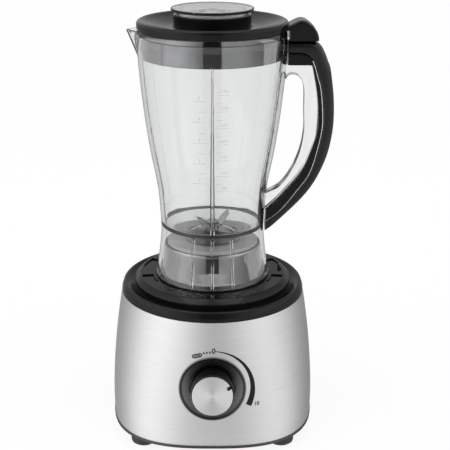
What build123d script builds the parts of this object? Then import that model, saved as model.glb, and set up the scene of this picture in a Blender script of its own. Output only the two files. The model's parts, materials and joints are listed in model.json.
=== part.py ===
"""Countertop blender: a motor base with a steel front, and a clear jug with blades, lid and cap.

Millimetres. +Z is up, the origin is on the motor's axis at the height that the feet stand on,
the speed knob faces -Y, the jug's handle is at +X and its spout at -X.
"""
from build123d import *
import os
from math import cos, pi, radians, sin

os.makedirs("parts", exist_ok=True)

# ---- motor base, outside ---------------------------------------------------------------
FOOT_HEIGHT = 10.5
FOOT_RADIUS = 12.7
FOOT_SPOTS = {"front_left": (-67.3, -66.5), "front_right": (67.3, -66.5),
              "rear_left": (-67.3, 66.5), "rear_right": (67.3, 66.5)}
STEEL_BOTTOM = 12.8
STEEL_TOP = 137.7
SHEET = 1.0
HOUSING_WALL = 2.6
REAR_PROUD = 0.8
# Height, half width and squareness of the base's outline: 2 is a circle, higher is squarer.
BASE_OUTLINE = [(0, 98.0, 2.75), (28, 100.5, 2.6), (60, 99.7, 2.38),
                (95, 96.7, 2.17), (125, 92.6, 2.03), (150, 88.2, 2.0)]
OUTLINE_POINTS = 32
BOSS_SPOTS = [(82, 49), (-82, 49), (82, -49), (-82, -49)]
BOSS_RADIUS = 7.0
SCREW_RADIUS = 2.0

# ---- top cover and the platform that the jug stands on -----------------------------------
PLATFORM_TOP = 154.2
COVER_WALL = 3.0
SHAFT_OPENING = 17.0
LOCK_SLOT_TURNS = [-19, 19, 161, 199]
PIN_SPOT = (67.5, 8.5)
PIN_RADIUS = 2.0

# ---- knob --------------------------------------------------------------------------------
KNOB_TILT = 7.0
KNOB_CENTRE_Y = -98.6
KNOB_CENTRE_Z = 73.5
BEZEL_RADIUS = 31.2
BEZEL_DEPTH = 12.0
KNOB_RADIUS = 20.3
KNOB_FACE_RADIUS = 19.1
KNOB_PROUD = 18.4
KNOB_SHAFT_RADIUS = 3.0
KNOB_POINTS_AT = 63.0

# ---- motor -------------------------------------------------------------------------------
SHAFT_RADIUS = 4.0
RUNNING_GAP = 0.05
CORE_BOTTOM = 66.0
CORE_TOP = 104.0
ARMATURE_RADIUS = 23.2
STATOR_BORE = 23.8
STATOR_SIZE = (96, 80)
MOTOR_BOLT_SPOTS = [(40.5, 33), (-40.5, 33), (40.5, -33), (-40.5, -33)]
UPPER_BRACKET_Z = (113.0, 117.0)
LOWER_BRACKET_Z = (38.0, 42.0)
MOUNT_POST_BOTTOM = 125.0

# ---- couplings ---------------------------------------------------------------------------
COUPLING_LOBES = 6
LOBE_OUTER = 9.4
LOBE_INNER = 7.0
COUPLING_GAP = 0.5

# ---- cord inlet --------------------------------------------------------------------------
INLET_Z = 30.0
INLET_RADIUS = 3.6
GLAND_NECK_RADIUS = 6.9

# ---- jug ---------------------------------------------------------------------------------
JUG_WALL = 3.0
JUG_BOTTOM = 154.6
JUG_RIM = 395.2
# Radius and height of the jug's outside, from the rim down to the waist and out to the foot.
JUG_OUTSIDE = [(69.7, 395.2), (70.1, 376.0), (68.6, 352.0), (66.2, 328.2), (62.6, 298.9),
               (57.7, 269.1), (53.0, 243.0), (50.9, 218.0), (50.1, 204.0)]
SKIRT_OUTSIDE = [(50.1, 204.0), (51.6, 184.0), (54.4, 164.0), (56.2, 154.6)]
FLOOR_EDGE_TOP = 209.0
FLOOR_HOLE = 21.3
FLOOR_HUB_TOP = 197.0
FLOOR_HUB_BOTTOM = 190.5
RIB_TOP = 353.0
RIB_DEPTH = 4.0
SPOUT_REACH = 81.9
SPOUT_ROOT_Z = 371.0
SPOUT_HALF_WIDTH = 25.0

# ---- handle, as outlines in the plane through the jug's axis -------------------------------
HANDLE_TOP = 385.6
BLOCK_BOTTOM = 363.0
GRIP_OUTSIDE = [(98.6, 385.6), (105.6, 374.0), (111.1, 356.9), (114.9, 328.2), (114.7, 298.9),
                (108.1, 269.1), (92.1, 238.7), (62.3, 207.7), (51.3, 198.3)]
GRIP_PARTING = [(64.0, 374.5), (82.0, 374.0), (91.5, 370.0), (95.4, 362.0), (101.6, 340.0),
                (103.9, 317.5), (103.1, 297.5), (94.4, 262.0), (81.9, 242.0), (65.4, 221.0),
                (51.6, 210.2)]
GRIP_INSIDE = [(93.0, 363.0), (97.8, 338.0), (99.5, 319.0), (98.4, 295.5), (94.4, 279.0),
               (84.6, 259.0), (66.9, 237.0), (51.9, 221.5)]
FINGER_SIDE = [(66.4, 350.6), (72.5, 354.3), (80.5, 352.0), (86.0, 342.0), (86.2, 319.4),
               (87.4, 299.5), (83.6, 280.0), (76.4, 262.0), (65.0, 245.0), (51.5, 236.0)]
HANDLE_SCREW_SPOT = (82.0, 0.0)
HANDLE_SCREW_BOTTOM = 366.0
GRIP_WIDTH = 23.0
GRIP_ROUNDING = 5.5
CORE_WIDTH = 14.0

# ---- blade holder and blades ---------------------------------------------------------------
HOLDER_BOTTOM = 158.5
HOLDER_RADIUS = 47.5
HOLDER_SHOULDER = 187.3
HOLDER_TOP = 198.3
JUG_SEAL_RADIUS = 44.0
BUSH_RADIUS = 8.0
BLADE_LEVEL = 200.0
BLADE_SHEET = 1.5

# ---- lid and cap ---------------------------------------------------------------------------
LID_SEAT = 395.6
LID_RIM_RADIUS = 70.6
LID_SKIRT_RADIUS = 65.8
LID_SKIRT_BOTTOM = 370.6
COLLAR_RADIUS = 36.3
COLLAR_TOP = 409.5
NECK_RADIUS = 32.3
LID_ARM_BOTTOM = 386.0
LID_ARM = [(66.0, 399.6), (72.0, 400.8), (77.5, 403.6), (82.5, 404.8), (90.0, 401.3),
           (95.6, 395.6), (98.3, LID_ARM_BOTTOM)]
LID_ARM_WIDTH = 26.0
CAP_FLANGE_RADIUS = 38.6
CAP_BODY_RADIUS = 31.5
CAP_TOP = 415.2

UPRIGHT = (Align.CENTER, Align.CENTER, Align.MIN)
BIG = 300.0


# ---- helpers -------------------------------------------------------------------------------
def tube(z_low, z_high, outer, inner=0.0):
    """Upright tube on the Z axis, or a plain disc when inner is zero."""
    body = Pos(0, 0, z_low) * Cylinder(outer, z_high - z_low, align=UPRIGHT)
    if inner > 0:
        body -= Pos(0, 0, z_low - 1) * Cylinder(inner, z_high - z_low + 2, align=UPRIGHT)
    return body


def turned(outline):
    """Solid turned about the Z axis from a closed outline of (radius, height) points."""
    return revolve(make_face(Polyline(*[(r, 0, z) for r, z in outline], close=True)), Axis.Z)


def slab(z_low, z_high):
    """Wide flat block between two heights, to trim other solids with."""
    return Pos(0, 0, z_low) * Box(BIG, BIG, z_high - z_low, align=UPRIGHT)


def block(x_span, y_span, z_span):
    """Box between two X, two Y and two Z values."""
    centre = [(span[0] + span[1]) / 2 for span in (x_span, y_span, z_span)]
    size = [span[1] - span[0] for span in (x_span, y_span, z_span)]
    return Pos(*centre) * Box(*size)


def around(shape, turns):
    """Copies of a shape at each of several turns about the Z axis, in degrees."""
    return [Rot(0, 0, turn) * shape for turn in turns]


def evenly(count, first=0.0):
    return [first + 360.0 * step / count for step in range(count)]


def joined(base, extras):
    for extra in extras:
        base += extra
    return base


def cut_away(base, tools):
    for tool in tools:
        base -= tool
    return base


def base_outline(z, half, power, inset):
    """Flat closed outline of the base at one height, moved in by inset."""
    points = []
    for step in range(OUTLINE_POINTS):
        turn = 2 * pi * step / OUTLINE_POINTS
        reach = (abs(cos(turn)) ** power + abs(sin(turn)) ** power) ** (-1 / power)
        points.append(((half - inset) * reach * cos(turn), (half - inset) * reach * sin(turn), z))
    return make_face(Spline(*points, periodic=True))


def base_solid(inset, z_low, z_high):
    """The base's outer form, moved in by inset and cut to a range of heights."""
    form = loft([base_outline(z, half, power, inset) for z, half, power in BASE_OUTLINE])
    return form & slab(z_low, z_high)


def knob_plane():
    """Plane on the steel front, its Z along the knob's axis, out of the base."""
    tilt = radians(KNOB_TILT)
    return Plane(origin=(0, KNOB_CENTRE_Y, KNOB_CENTRE_Z), x_dir=(1, 0, 0),
                 z_dir=(0, -cos(tilt), sin(tilt)))


def upright_sheet(edges, width):
    """Sheet of a given width across Y, from a closed chain of edges in the XZ plane."""
    return extrude(Pos(0, -width / 2, 0) * make_face(edges), amount=width, dir=(0, 1, 0))


def curve(points):
    return Spline(*[(x, 0, z) for x, z in points])


def straight(*points):
    return Polyline(*[(x, 0, z) for x, z in points])


# ---- motor base, outside -------------------------------------------------------------------
def wrap_zone(bottom):
    """Block over the front of the base that the steel covers; its rear edge leans back upwards."""
    left = -BIG / 2
    side = Polyline((left, -130, bottom), (left, -12, bottom), (left, 0, 35),
                    (left, 38, STEEL_TOP), (left, -130, STEEL_TOP), close=True)
    zone = extrude(make_face(side), amount=BIG, dir=(1, 0, 0))
    corner = zone.edges().filter_by(Axis.X).sort_by_distance((0, -12, bottom))[0]
    return fillet(corner, 12)


def make_base_housing():
    bed = base_solid(SHEET, FOOT_HEIGHT, STEEL_TOP)
    rear = base_solid(-REAR_PROUD, FOOT_HEIGHT, STEEL_TOP) - wrap_zone(STEEL_BOTTOM)
    rim = base_solid(0.1, FOOT_HEIGHT, STEEL_BOTTOM)
    shell = (bed + rear + rim) - base_solid(SHEET + HOUSING_WALL, 0, 150)
    bosses = [Pos(x, y, 13.7) * Cylinder(BOSS_RADIUS, 30, align=UPRIGHT) for x, y in BOSS_SPOTS]
    bosses = joined(bosses[0], bosses[1:]) & base_solid(SHEET + 0.5, 0, 150)
    shell += bosses
    shell -= knob_plane() * Cylinder(BEZEL_RADIUS + 0.2, 40)
    shell -= Pos(0, 100, INLET_Z) * Rot(90, 0, 0) * Cylinder(GLAND_NECK_RADIUS + 0.1, 20)
    pilots = [Pos(x, y, 13) * Cylinder(SCREW_RADIUS + 0.05, 16, align=UPRIGHT)
              for x, y in BOSS_SPOTS]
    return cut_away(shell, pilots + rear_vents())


def rear_vents():
    """Row of upright air slots through the rear of the housing."""
    return [block((x - 1.5, x + 1.5), (80, 110), (52, 80)) for x in range(-30, 31, 10)]


def make_steel_wrap():
    skin = base_solid(0, STEEL_BOTTOM, STEEL_TOP) - base_solid(SHEET, 0, 150)
    skin = skin & wrap_zone(STEEL_BOTTOM)
    return skin - knob_plane() * Cylinder(BEZEL_RADIUS + 0.2, 40)


def make_bottom_plate():
    plate = base_solid(SHEET + HOUSING_WALL + 0.2, FOOT_HEIGHT, FOOT_HEIGHT + 3)
    slots = [block((-24, 24), (y - 2, y + 2), (5, 20)) for y in range(-32, 33, 8)]
    screw_holes = [Pos(x, y, 0) * Cylinder(SCREW_RADIUS + 0.3, 40) for x, y in BOSS_SPOTS]
    stem_holes = [Pos(x, y, 0) * Cylinder(4.1, 40) for x, y in FOOT_SPOTS.values()]
    pegs = [Pos(x, y, FOOT_HEIGHT + 3) * Cylinder(2.5, 4, align=UPRIGHT)
            for x in (-30, 30) for y in (-79, -55)]
    return joined(cut_away(plate, slots + screw_holes + stem_holes), pegs)


def make_foot(spot):
    """Rubber foot with a stem that plugs into the bottom plate."""
    outline = [(0, 0.6), (7.0, 0.6), (7.6, 0), (10.4, 0), (12.2, 1.4), (FOOT_RADIUS, 3.6),
               (FOOT_RADIUS, 9.0), (12.2, FOOT_HEIGHT), (4.0, FOOT_HEIGHT), (4.0, 16.5),
               (0, 16.5)]
    return Pos(*spot, 0) * turned(outline)


def make_bottom_screws():
    screw = tube(FOOT_HEIGHT - 2.2, FOOT_HEIGHT, 3.8) + tube(FOOT_HEIGHT, 27, SCREW_RADIUS)
    screw -= block((-3, 3), (-0.5, 0.5), (7, 9.3))
    return Compound([Pos(x, y, 0) * screw for x, y in BOSS_SPOTS])


def make_cord_gland():
    """Rubber grommet at the rear; its bore runs through it along Y."""
    outline = [(INLET_RADIUS, 93.5), (9.0, 93.5), (9.0, 96.6), (GLAND_NECK_RADIUS, 96.6),
               (GLAND_NECK_RADIUS, 101.4), (9.4, 101.4), (9.4, 103.2), (8.4, 104.5),
               (INLET_RADIUS, 104.5)]
    return Pos(0, 0, INLET_Z) * Rot(-90, 0, 0) * turned(outline)


def make_top_cover():
    outline = [(90.5, STEEL_TOP), (90.2, 141.0), (88.6, 145.8), (87.6, 146.9), (86.4, 147.2),
               (85.0, 146.8), (79.2, 144.1), (77.4, 144.0), (77.4, 149.4), (76.9, 150.4),
               (73.0, 153.6), (71.6, PLATFORM_TOP), (20.0, PLATFORM_TOP), (20.0, 156.6),
               (19.6, 157.0), (17.4, 157.0), (SHAFT_OPENING, 156.6),
               (SHAFT_OPENING, PLATFORM_TOP - COVER_WALL), (70.8, PLATFORM_TOP - COVER_WALL),
               (74.4, 148.0), (74.4, 141.0), (79.8, 141.0), (84.4, 143.0), (84.7, 139.0),
               (84.7, 132.5), (86.7, 132.5), (86.7, STEEL_TOP)]
    cover = turned(outline)
    posts = [Pos(x, y, MOUNT_POST_BOTTOM) * Cylinder(6, 152 - MOUNT_POST_BOTTOM, align=UPRIGHT)
             for x, y in MOTOR_BOLT_SPOTS]
    pilots = [Pos(x, y, 100) * Cylinder(SCREW_RADIUS + 0.05, 42, align=UPRIGHT)
              for x, y in MOTOR_BOLT_SPOTS]
    cover = cut_away(joined(cover, posts), pilots + lock_slots())
    return cover - Pos(*PIN_SPOT, 150) * Cylinder(PIN_RADIUS + 0.3, 30)


def lock_slots():
    """Shallow slots in the platform that the lugs of a jug or bowl turn into."""
    depth = 1.4
    slots = []
    for turn in LOCK_SLOT_TURNS:
        sector = tube(PLATFORM_TOP - depth, PLATFORM_TOP + 1, 70.5, 59.5)
        wedge = Polyline((0, 0, 150), (90, -16, 150), (90, 16, 150), close=True)
        wedge = extrude(make_face(wedge), amount=10, dir=(0, 0, 1))
        slots.append(Rot(0, 0, turn) * (sector & wedge))
    return slots


def make_interlock_pin():
    pin = tube(148.6, PLATFORM_TOP + 3.8, PIN_RADIUS) + tube(148.6, 149.6, 3.4)
    top_edge = pin.edges().sort_by(Axis.Z)[-1]
    return Pos(*PIN_SPOT, 0) * fillet(top_edge, 0.8)


def make_interlock_spring():
    turns_high = 3.2
    path = Helix(pitch=1.0, height=turns_high, radius=2.5)
    wire_start = Plane(origin=path @ 0, z_dir=path % 0)
    coil = sweep(wire_start * Circle(0.3), path=path)
    return Pos(*PIN_SPOT, 144.9) * coil


def make_micro_switch():
    body = block((58, 73), (5.0, 12.0), (134, 144))
    terminals = [block((x, x + 1), (7.6, 9.4), (129, 134)) for x in (60, 65, 70)]
    return joined(body, terminals)


# ---- knob ----------------------------------------------------------------------------------
def make_knob_bezel():
    outline = [(BEZEL_RADIUS, -BEZEL_DEPTH), (BEZEL_RADIUS, 0.6), (30.6, 1.2), (29.8, 0.9),
               (22.6, -4.0), (21.4, -5.0), (21.4, -9.6), (4.6, -9.6), (4.6, -BEZEL_DEPTH)]
    return knob_plane() * turned(outline)


def make_knob_body():
    face_bottom = KNOB_PROUD - 1.0
    outline = [(KNOB_SHAFT_RADIUS, -8.6), (6.0, -8.6), (6.0, 14.6), (17.9, 14.6),
               (17.9, -8.6), (KNOB_RADIUS + 0.3, -8.6), (KNOB_RADIUS, face_bottom),
               (KNOB_RADIUS - 0.6, KNOB_PROUD), (KNOB_FACE_RADIUS, KNOB_PROUD),
               (KNOB_FACE_RADIUS, face_bottom), (0, face_bottom),
               (0, 12.0), (KNOB_SHAFT_RADIUS, 12.0)]
    return knob_plane() * (turned(outline) - pointer_notch())


def pointer_notch():
    """Small notch in the edge of the knob's face that points at the scale."""
    reach = (KNOB_RADIUS - 4.0, KNOB_RADIUS + 0.2)
    notch = block((-1.1, 1.1), reach, (KNOB_PROUD - 2.0, KNOB_PROUD + 1))
    return Rot(0, 0, -KNOB_POINTS_AT) * notch


def make_knob_face():
    disc = tube(KNOB_PROUD - 1.0, KNOB_PROUD, KNOB_FACE_RADIUS)
    return knob_plane() * (disc - pointer_notch())


def make_knob_shaft():
    return knob_plane() * tube(-29.0, 12.0, KNOB_SHAFT_RADIUS)


def make_speed_switch():
    body = block((-14, 14), (-14, 14), (-30.5, -13.0)) + tube(-13.0, -9.4, 4.5)
    body += block((-10, 10), (-19, -14), (-28, -26.5))
    return knob_plane() * (body - tube(-29.4, 0, KNOB_SHAFT_RADIUS + RUNNING_GAP))


def make_control_board():
    board = block((-35, 35), (-84, -50), (17.5, 19.1))
    parts = [block((-30, -14), (-76, -62), (19.1, 31)), block((12, 30), (-66, -54), (19.1, 29)),
             block((-8, 6), (-82, -74), (19.1, 25)), Pos(0, -62, 19.1) * Cylinder(6, 14, align=UPRIGHT),
             Pos(20, -76, 19.1) * Cylinder(4, 11, align=UPRIGHT)]
    return joined(board, parts)


# ---- motor ---------------------------------------------------------------------------------
def bolt_holes(z_low, z_high):
    return [Pos(x, y, z_low) * Cylinder(SCREW_RADIUS + 0.1, z_high - z_low, align=UPRIGHT)
            for x, y in MOTOR_BOLT_SPOTS]


def rounded_plate(size, radius, z_low, z_high):
    plate = Pos(0, 0, z_low) * Box(*size, z_high - z_low, align=UPRIGHT)
    return fillet(plate.edges().filter_by(Axis.Z), radius)


def make_stator_core():
    core = rounded_plate(STATOR_SIZE, 14, CORE_BOTTOM, CORE_TOP)
    core -= rounded_plate((76, 60), 6, CORE_BOTTOM - 1, CORE_TOP + 1)
    shoes = tube(CORE_BOTTOM, CORE_TOP, 29, STATOR_BORE)
    shoes &= block((-BIG, BIG), (-19, 19), (0, 200))
    necks = block((-38.5, 38.5), (-12, 12), (CORE_BOTTOM, CORE_TOP))
    necks -= tube(CORE_BOTTOM - 1, CORE_TOP + 1, 26)
    return cut_away(core + shoes + necks, bolt_holes(CORE_BOTTOM - 1, CORE_TOP + 1))


def make_field_coils():
    coil = block((29.6, 37.4), (-24, 24), (CORE_BOTTOM - 7, CORE_TOP + 7))
    coil = fillet(coil.edges().filter_by(Axis.X), 6)
    coil -= block((29, 38), (-12.2, 12.2), (CORE_BOTTOM - 0.2, CORE_TOP + 0.2))
    return Compound(around(coil, (0, 180)))


def bracket(z_span, boss_span, boss_radius, bearing_span, bearing_radius):
    """Pressed plate that carries one of the rotor's bearings in a central boss."""
    plate = rounded_plate((94, 78), 12, *z_span)
    windows = [block((x - 9, x + 9), (y - 8, y + 8), (z_span[0] - 1, z_span[1] + 1))
               for x in (-28, 28) for y in (-20, 20)]
    plate = cut_away(plate, windows + bolt_holes(z_span[0] - 1, z_span[1] + 1))
    plate += tube(*boss_span, boss_radius)
    plate -= tube(boss_span[0] - 5, boss_span[1] + 5, SHAFT_RADIUS + 1.2)
    return plate - tube(*bearing_span, bearing_radius)


def legs(z_span):
    return [Pos(x, y, z_span[0]) * (tube(0, z_span[1] - z_span[0], 4.2, SCREW_RADIUS + 0.1))
            for x, y in MOTOR_BOLT_SPOTS]


def make_motor_upper_bracket():
    plate = bracket(UPPER_BRACKET_Z, (113, 122), 14, (114, 122), 11)
    return joined(plate, legs((CORE_TOP, UPPER_BRACKET_Z[0])))


def make_motor_lower_bracket():
    plate = bracket(LOWER_BRACKET_Z, (38, 45.6), 12.4, (39, 45.6), 9.5)
    return joined(plate, legs((LOWER_BRACKET_Z[1], CORE_BOTTOM)))


def make_bearing(z_low, z_high, outer):
    ring = tube(z_low, z_high, outer, SHAFT_RADIUS + RUNNING_GAP)
    groove = tube(z_high - 0.6, z_high + 1, outer - 1.8, SHAFT_RADIUS + 1.8)
    return ring - groove


def make_brush_holders():
    holder = block((-6.5, 6.5), (13.2, 38), (LOWER_BRACKET_Z[1], 58))
    holder -= block((-3.1, 3.1), (0, 34), (49.4, 55.6))
    return Compound(around(holder, (0, 180)))


def make_carbon_brushes():
    brush = block((-3, 3), (11.9, 32), (49.6, 55.4))
    return Compound(around(brush, (0, 180)))


def make_motor_bushes():
    bush = tube(UPPER_BRACKET_Z[1], MOUNT_POST_BOTTOM, 6.5, SCREW_RADIUS + 0.1)
    return Compound([Pos(x, y, 0) * bush for x, y in MOTOR_BOLT_SPOTS])


def make_motor_bolts():
    bolt = tube(LOWER_BRACKET_Z[0], 138, SCREW_RADIUS) + tube(34.5, LOWER_BRACKET_Z[0], 3.8)
    return Compound([Pos(x, y, 0) * bolt for x, y in MOTOR_BOLT_SPOTS])


# ---- rotor ---------------------------------------------------------------------------------
def make_motor_shaft():
    return tube(20, 157, SHAFT_RADIUS)


def make_armature_core():
    core = tube(CORE_BOTTOM, CORE_TOP, ARMATURE_RADIUS, SHAFT_RADIUS)
    slot = block((-1.1, 1.1), (14, 21), (CORE_BOTTOM - 1, CORE_TOP + 1))
    mouth = block((-0.5, 0.5), (20, 25), (CORE_BOTTOM - 1, CORE_TOP + 1))
    return cut_away(core, around(slot + mouth, evenly(12)))


def make_armature_windings():
    """Wire in the core's slots, with a rounded heap of end turns above and below it."""
    lower = turned([(SHAFT_RADIUS, 60.4), (15, 60.4), (19, 62.4), (20.9, CORE_BOTTOM),
                    (SHAFT_RADIUS, CORE_BOTTOM)])
    upper = turned([(SHAFT_RADIUS, CORE_TOP), (20.9, CORE_TOP), (19, 108.6), (15, 110.6),
                    (SHAFT_RADIUS, 110.6)])
    bar = block((-0.9, 0.9), (14.2, 20.8), (CORE_BOTTOM - 0.5, CORE_TOP + 0.5))
    return joined(lower + upper, around(bar, evenly(12)))


def make_commutator():
    drum = tube(46.6, 60.2, 11.5, SHAFT_RADIUS)
    cut = block((-0.3, 0.3), (10.4, 12), (46, 58))
    return cut_away(drum, around(cut, evenly(12, 15)))


def make_cooling_fan():
    hub = tube(22, 34, 8, SHAFT_RADIUS) + tube(32, 34, 34, 7)
    blade = block((-0.8, 0.8), (7, 33.5), (22.5, 32.5))
    return joined(hub, around(blade, evenly(9)))


def star(z_low, z_high, grow):
    """Prism with rounded lobes; grow moves its sides outwards."""
    points = []
    for step in range(2 * COUPLING_LOBES):
        reach = (LOBE_OUTER if step % 2 == 0 else LOBE_INNER) + grow
        turn = pi * step / COUPLING_LOBES
        points.append((reach * cos(turn), reach * sin(turn), z_low))
    outline = Spline(*points, periodic=True)
    return extrude(make_face(outline), amount=z_high - z_low, dir=(0, 0, 1))


def make_drive_coupling():
    hub = tube(146, 158.2, 12.0) + star(158.2, 167.2, 0)
    return hub - tube(140, 157, SHAFT_RADIUS)


# ---- jug -----------------------------------------------------------------------------------
def jug_outline(inset):
    return curve([(r - inset, z) for r, z in JUG_OUTSIDE])


def make_jug_shell():
    """Wall, sloping floor and skirt, turned about the jug's axis."""
    outside = jug_outline(0)
    skirt_outside = curve(SKIRT_OUTSIDE)
    wall = [(r - JUG_WALL, z) for r, z in JUG_OUTSIDE if z > FLOOR_EDGE_TOP + 5]
    wall_bottom = (46.8, FLOOR_EDGE_TOP + 1)
    inside = curve(wall + [wall_bottom])
    skirt = [(r - JUG_WALL, z) for r, z in SKIRT_OUTSIDE if z < HOLDER_TOP]
    skirt_inside = curve([(47.2, 202.0)] + skirt)
    edges = [outside, skirt_outside,
             straight(SKIRT_OUTSIDE[-1], skirt[-1]),
             skirt_inside,
             straight((47.2, 202.0), (27.0, 193.4), (27.0, FLOOR_HUB_BOTTOM),
                      (FLOOR_HOLE, FLOOR_HUB_BOTTOM), (FLOOR_HOLE, FLOOR_HUB_TOP),
                      (45.2, FLOOR_EDGE_TOP - 0.4), wall_bottom),
             inside,
             straight(wall[0], JUG_OUTSIDE[0])]
    return revolve(make_face(edges), Axis.Z)


def spout_wedge(reach, half_width, root_z, top_z):
    """Pointed four-cornered wedge that narrows downwards to a point on the jug's wall."""
    tip = (-reach, 0, top_z)
    left = (-58, -half_width, top_z)
    right = (-58, half_width, top_z)
    root = (-reach + 13.5, 0, root_z)
    inner = (-58, 0, root_z - 12)
    corners = [(tip, left, right), (tip, left, root), (tip, right, root),
               (left, root, inner), (right, root, inner), (left, right, inner)]
    sides = [make_face(Polyline(*corner, close=True)) for corner in corners]
    return Solid(Shell([side.face() for side in sides]))


def jug_ribs():
    """Upright ribs on the inside of the wall, which break up the swirl."""
    rib = block((-2.0, 2.0), (-72, -44), (FLOOR_HUB_TOP, RIB_TOP))
    return joined(rib, around(rib, (90, 180, 270)))


def jug_ribs_trimmed():
    """The ribs cut to a sliver of even depth along the wall's inside."""
    outside = revolve(make_face([jug_outline(1.0),
                                 straight((JUG_OUTSIDE[-1][0] - 1.0, 204.0), (0, 204.0),
                                          (0, JUG_RIM), (JUG_OUTSIDE[0][0] - 1.0, JUG_RIM))]), Axis.Z)
    depth = JUG_WALL + RIB_DEPTH
    core = revolve(make_face([jug_outline(depth),
                              straight((JUG_OUTSIDE[-1][0] - depth, 204.0), (0, 204.0),
                                       (0, JUG_RIM), (JUG_OUTSIDE[0][0] - depth, JUG_RIM))]), Axis.Z)
    return (jug_ribs() & outside) - core


def skirt_ribs():
    """Short ribs on the inside of the skirt, at the front and the back."""
    rib = block((-1.8, 1.8), (-54.5, -48.6), (157.0, 199.0))
    turns = [side + step for side in (0, 180) for step in (-22, 0, 22)]
    return around(rib, turns)


def skirt_form():
    """Everything inside the skirt's outer face."""
    return revolve(make_face([curve([(r - 1.0, z) for r, z in SKIRT_OUTSIDE]),
                              straight((SKIRT_OUTSIDE[-1][0] - 1.0, JUG_BOTTOM), (0, JUG_BOTTOM),
                                       (0, 204.0), (SKIRT_OUTSIDE[0][0] - 1.0, 204.0))]), Axis.Z)


def handle_core():
    """Clear web that joins the jug to the grip, around the finger opening."""
    edges = [curve(GRIP_INSIDE), curve(FINGER_SIDE),
             straight(GRIP_INSIDE[0], (64.0, BLOCK_BOTTOM), (64.0, 350.6), FINGER_SIDE[0]),
             straight(GRIP_INSIDE[-1], (48.5, 221.5), (48.5, 236.0), FINGER_SIDE[-1])]
    return upright_sheet(edges, CORE_WIDTH)


def jug_cavity():
    """Space inside the jug, above its floor."""
    edges = [jug_outline(JUG_WALL), straight((JUG_OUTSIDE[-1][0] - JUG_WALL, 204.0), (0, 204.0),
                                             (0, JUG_RIM), (JUG_OUTSIDE[0][0] - JUG_WALL, JUG_RIM))]
    return revolve(make_face(edges), Axis.Z) & slab(FLOOR_EDGE_TOP + 2, JUG_RIM + 5)


def make_jug_body():
    shell = make_jug_shell()
    shell += spout_wedge(SPOUT_REACH, SPOUT_HALF_WIDTH, SPOUT_ROOT_Z, JUG_RIM)
    shell += handle_core() - jug_cavity()
    shell -= spout_wedge(SPOUT_REACH - 3.4, SPOUT_HALF_WIDTH - 3.0, SPOUT_ROOT_Z + 4, JUG_RIM + 1)
    shell -= jug_cavity()
    shell += jug_ribs_trimmed()
    return joined(shell, [rib & skirt_form() for rib in skirt_ribs()])


def outside_of_jug(gap):
    """The jug's outer form grown by a gap, to cut the handle's ends with."""
    points = JUG_OUTSIDE + SKIRT_OUTSIDE[1:]
    edges = [curve([(r + gap, z) for r, z in points]),
             straight((points[-1][0] + gap, JUG_BOTTOM), (0, JUG_BOTTOM), (0, JUG_RIM),
                      (points[0][0] + gap, JUG_RIM))]
    return revolve(make_face(edges), Axis.Z)


def make_handle_cover():
    """Rounded outer half of the grip."""
    edges = [curve(GRIP_OUTSIDE), curve(GRIP_PARTING),
             straight(GRIP_OUTSIDE[0], (64.0, HANDLE_TOP), GRIP_PARTING[0]),
             straight(GRIP_OUTSIDE[-1], (48.0, 196.0), (48.0, 207.6), GRIP_PARTING[-1])]
    cover = upright_sheet(edges, GRIP_WIDTH)
    outer_edges = [edge for edge in cover.edges() if (edge @ 0.5).X > 108]
    return fillet(outer_edges, GRIP_ROUNDING) - outside_of_jug(0.1) - handle_screw_hole()


def make_handle_liner():
    """Inner half of the grip, with the block that meets the jug below the lid."""
    edges = [curve(GRIP_PARTING), curve(GRIP_INSIDE),
             straight(GRIP_PARTING[0], (64.0, BLOCK_BOTTOM), GRIP_INSIDE[0]),
             straight(GRIP_PARTING[-1], (48.0, 207.6), (48.0, 218.0), GRIP_INSIDE[-1])]
    liner = upright_sheet(edges, GRIP_WIDTH)
    return liner - outside_of_jug(0.1) - handle_screw_hole()


def handle_screw_hole():
    return Pos(*HANDLE_SCREW_SPOT, HANDLE_SCREW_BOTTOM) * Cylinder(SCREW_RADIUS, 30, align=UPRIGHT)


def make_handle_screw():
    return Pos(*HANDLE_SCREW_SPOT, 0) * tube(HANDLE_SCREW_BOTTOM, HANDLE_TOP - 0.2, SCREW_RADIUS)


# ---- blade holder and blades -----------------------------------------------------------------
def make_blade_holder():
    outline = [(HOLDER_RADIUS, HOLDER_BOTTOM), (HOLDER_RADIUS, 184.4), (44.6, HOLDER_SHOULDER),
               (21.0, HOLDER_SHOULDER), (21.0, 195.4), (11.0, HOLDER_TOP),
               (BUSH_RADIUS, HOLDER_TOP), (BUSH_RADIUS, 172.0), (11.0, 172.0), (11.0, 183.8),
               (44.3, 183.8), (44.3, HOLDER_BOTTOM)]
    return turned(outline)


def make_jug_seal():
    """Wide flat ring on the holder's shoulder, which the jug's floor is pressed onto."""
    return tube(HOLDER_SHOULDER, FLOOR_HUB_BOTTOM, JUG_SEAL_RADIUS, FLOOR_HOLE)


def make_bush(z_low, z_high):
    return tube(z_low, z_high, BUSH_RADIUS, SHAFT_RADIUS + RUNNING_GAP)


def make_blade_shaft():
    return tube(168, 207, SHAFT_RADIUS) + tube(HOLDER_TOP + 0.3, BLADE_LEVEL, 6.5)


def blade_arm(root, level, lift, length, turn):
    """Tapered, sharpened arm, bent up by lift degrees where it leaves the hub."""
    outline = Polyline((-1.2, -4.2, 0), (length - 4, -2.4, 0), (length, 1.8, 0),
                       (length - 7, 4.0, 0), (-1.2, 4.2, 0), close=True)
    arm = extrude(make_face(outline), amount=BLADE_SHEET, dir=(0, 0, 1))
    return Rot(0, 0, turn) * Pos(root, 0, level) * Rot(0, -lift, 0) * arm


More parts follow.
